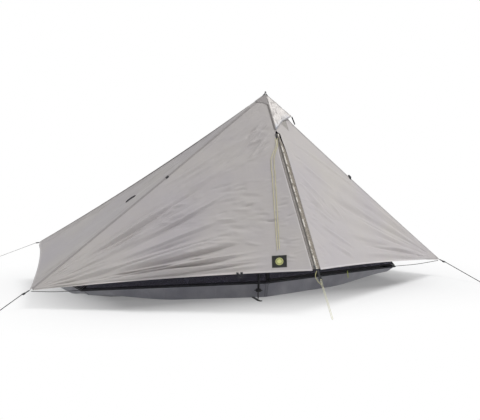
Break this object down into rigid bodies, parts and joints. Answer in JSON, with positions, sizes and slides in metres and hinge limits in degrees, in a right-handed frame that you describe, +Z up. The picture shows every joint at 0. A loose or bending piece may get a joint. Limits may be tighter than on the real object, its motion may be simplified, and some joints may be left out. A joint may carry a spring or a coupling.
{
  "type": "pyramid tent",
  "caption": "Pyramid tent on one central pole: light grey outer with a zipped porch, hooded vent, mesh inner with bathtub floor, corner guylines.",
  "frame": {"origin": "on the ground, at the middle of the floor's length, on the underside of the bathtub floor", "axes": "+Z up, -Y towards the porch and its zip, +X towards the right end as seen from the porch"},
  "size_m": [3.1924, 3.0784, 1.2658],
  "materials": {
    "bathtub_floor": "coated floor cloth, mid grey",
    "mesh_back": "fine dark mesh",
    "mesh_front_left": "fine dark mesh",
    "mesh_zip_track": "woven zip tape with a coil edge",
    "front_top_left": "coated ripstop cloth, warm light grey",
    "front_top_right": "coated ripstop cloth, warm light grey",
    "end_panel_left": "coated ripstop cloth, warm light grey",
    "end_panel_right": "coated ripstop cloth, warm light grey",
    "rear_panel_left": "coated ripstop cloth, warm light grey",
    "rear_panel_right": "coated ripstop cloth, warm light grey",
    "vent_mesh": "fine dark mesh",
    "vent_hood": "stiffened near-white cloth",
    "peak_patch": "coated ripstop cloth, warm light grey",
    "peak_loop": "woven webbing",
    "peak_pocket": "coated cloth cup that takes the grip",
    "ridge_tie_left": "woven webbing",
    "ridge_tie_right": "woven webbing",
    "end_tie_left": "woven webbing",
    "end_tie_right": "woven webbing",
    "corner_strap_front_left": "woven webbing",
    "corner_strap_front_right": "woven webbing",
    "corner_strap_rear_left": "woven webbing",
    "corner_strap_rear_right": "woven webbing",
    "corner_strap_rear": "woven webbing",
    "guyline_front_left": "braided cord",
    "guyline_front_right": "braided cord",
    "guyline_rear_left": "braided cord",
    "guyline_rear_right": "braided cord",
    "guyline_rear": "braided cord",
    "floor_cord_front_left": "braided cord",
    "floor_cord_front_right": "braided cord",
    "floor_cord_rear_left": "braided cord",
    "floor_cord_rear_right": "braided cord",
    "foot_strap": "woven webbing",
    "pole_lower_shaft": "anodised tube, matt",
    "pole_basket": "black moulded plastic",
    "pole_tip": "black moulded plastic",
    "door_left": "coated ripstop cloth, warm light grey",
    "porch_zip_left": "woven zip tape with a coil edge",
    "door_loop": "woven webbing",
    "tie_cord": "braided cord",
    "badge_patch": "woven webbing",
    "hem_tie": "coated ripstop cloth, warm light grey",
    "porch_zip_slider": "dark cast slider",
    "porch_zip_pull": "dark cast slider",
    "door_right": "coated ripstop cloth, warm light grey",
    "porch_zip_right": "woven zip tape with a coil edge",
    "porch_strap": "woven webbing",
    "porch_buckle": "black moulded plastic",
    "porch_cord": "braided cord",
    "guyline_porch": "braided cord",
    "vent_strut": "black moulded plastic",
    "mesh_door": "fine dark mesh",
    "mesh_zip_slider": "dark cast slider",
    "mesh_zip_pull": "yellow-green pull",
    "pole_middle_shaft": "anodised tube, matt",
    "middle_collar": "black moulded plastic",
    "pole_upper_shaft": "anodised tube, matt",
    "pole_grip": "black foam grip",
    "upper_collar": "black moulded plastic"
  },
  "bodies": {
    "tent": {"bathtub_floor": "bathtub_floor", "mesh_back": "mesh_back", "mesh_front_left": "mesh_front_left", "mesh_zip_track": "mesh_zip_track", "front_top_left": "front_top_left", "front_top_right": "front_top_right", "end_panel_left": "end_panel_left", "end_panel_right": "end_panel_right", "rear_panel_left": "rear_panel_left", "rear_panel_right": "rear_panel_right", "vent_mesh": "vent_mesh", "vent_hood": "vent_hood", "peak_patch": "peak_patch", "peak_loop": "peak_loop", "peak_pocket": "peak_pocket", "ridge_tie_left": "ridge_tie_left", "ridge_tie_right": "ridge_tie_right", "end_tie_left": "end_tie_left", "end_tie_right": "end_tie_right", "corner_strap_front_left": "corner_strap_front_left", "corner_strap_front_right": "corner_strap_front_right", "corner_strap_rear_left": "corner_strap_rear_left", "corner_strap_rear_right": "corner_strap_rear_right", "corner_strap_rear": "corner_strap_rear", "guyline_front_left": "guyline_front_left", "guyline_front_right": "guyline_front_right", "guyline_rear_left": "guyline_rear_left", "guyline_rear_right": "guyline_rear_right", "guyline_rear": "guyline_rear", "floor_cord_front_left": "floor_cord_front_left", "floor_cord_front_right": "floor_cord_front_right", "floor_cord_rear_left": "floor_cord_rear_left", "floor_cord_rear_right": "floor_cord_rear_right", "foot_strap": "foot_strap", "pole_lower_shaft": "pole_lower_shaft", "pole_basket": "pole_basket", "pole_tip": "pole_tip"},
    "left_door": {"door_left": "door_left", "porch_zip_left": "porch_zip_left", "door_loop": "door_loop", "tie_cord": "tie_cord", "badge_patch": "badge_patch", "hem_tie": "hem_tie"},
    "porch_slider": {"porch_zip_slider": "porch_zip_slider"},
    "porch_pull": {"porch_zip_pull": "porch_zip_pull"},
    "right_door": {"door_right": "door_right", "porch_zip_right": "porch_zip_right", "porch_strap": "porch_strap", "porch_buckle": "porch_buckle", "porch_cord": "porch_cord", "guyline_porch": "guyline_porch"},
    "strut": {"vent_strut": "vent_strut"},
    "inner_door": {"mesh_door": "mesh_door"},
    "inner_slider": {"mesh_zip_slider": "mesh_zip_slider"},
    "inner_pull": {"mesh_zip_pull": "mesh_zip_pull"},
    "middle_shaft": {"pole_middle_shaft": "pole_middle_shaft"},
    "middle_collar": {"middle_collar": "middle_collar"},
    "upper_shaft": {"pole_upper_shaft": "pole_upper_shaft", "pole_grip": "pole_grip"},
    "upper_collar": {"upper_collar": "upper_collar"}
  },
  "joints": [
    {"name": "left_door_fold", "type": "hinge", "parent": "tent", "child": "left_door", "pos_m": [0, -0.80279, 1.03752], "axis": [-0.8198, 0.2106, -0.5325], "range_deg": [0, 105]},
    {"name": "right_door_fold", "type": "hinge", "parent": "tent", "child": "right_door", "pos_m": [0, -0.80279, 1.03752], "axis": [-0.8198, -0.2106, 0.5325], "range_deg": [0, 105]},
    {"name": "porch_zip_travel", "type": "slide", "parent": "left_door", "child": "porch_slider", "axis": [0, 0.5578, 0.83], "range_m": [0, 0.78]},
    {"name": "porch_pull_swing", "type": "hinge", "parent": "porch_slider", "child": "porch_pull", "pos_m": [-0.004, -1.31578, 0.28586], "axis": [-1, 0, 0], "range_deg": [0, 70]},
    {"name": "strut_fold", "type": "hinge", "parent": "tent", "child": "strut", "pos_m": [0.19717, -0.6294, 1.10599], "axis": [0.2481, -0.961, 0.1219], "range_deg": [0, 90]},
    {"name": "inner_door_open", "type": "hinge", "parent": "tent", "child": "inner_door", "pos_m": [0, -0.63, 1.15], "axis": [-0.7103, -0.1472, 0.6884], "range_deg": [0, 25]},
    {"name": "inner_zip_travel", "type": "slide", "parent": "tent", "child": "inner_slider", "axis": [0.9667, 0.2557, -0.0114], "range_m": [-0.6, 0.25]},
    {"name": "inner_pull_swing", "type": "hinge", "parent": "inner_slider", "child": "inner_pull", "pos_m": [0.66144, -0.52356, 0.09524], "axis": [-0.9667, -0.2557, 0.0114], "range_deg": [0, 70]},
    {"name": "middle_shaft_slide", "type": "slide", "parent": "tent", "child": "middle_shaft", "axis": [0.0756, 0.0796, 0.994], "range_m": [-0.2, 0]},
    {"name": "middle_collar_twist", "type": "hinge", "parent": "tent", "child": "middle_collar", "pos_m": [-0.05949, -0.72262, 0.46775], "axis": [0.0756, 0.0796, 0.994], "range_deg": [0, 90]},
    {"name": "upper_shaft_slide", "type": "slide", "parent": "middle_shaft", "child": "upper_shaft", "axis": [0.0756, 0.0796, 0.994], "range_m": [-0.14, 0]},
    {"name": "upper_collar_twist", "type": "hinge", "parent": "middle_shaft", "child": "upper_collar", "pos_m": [-0.03077, -0.69238, 0.84546], "axis": [0.0756, 0.0796, 0.994], "range_deg": [0, 90]}
  ]
}
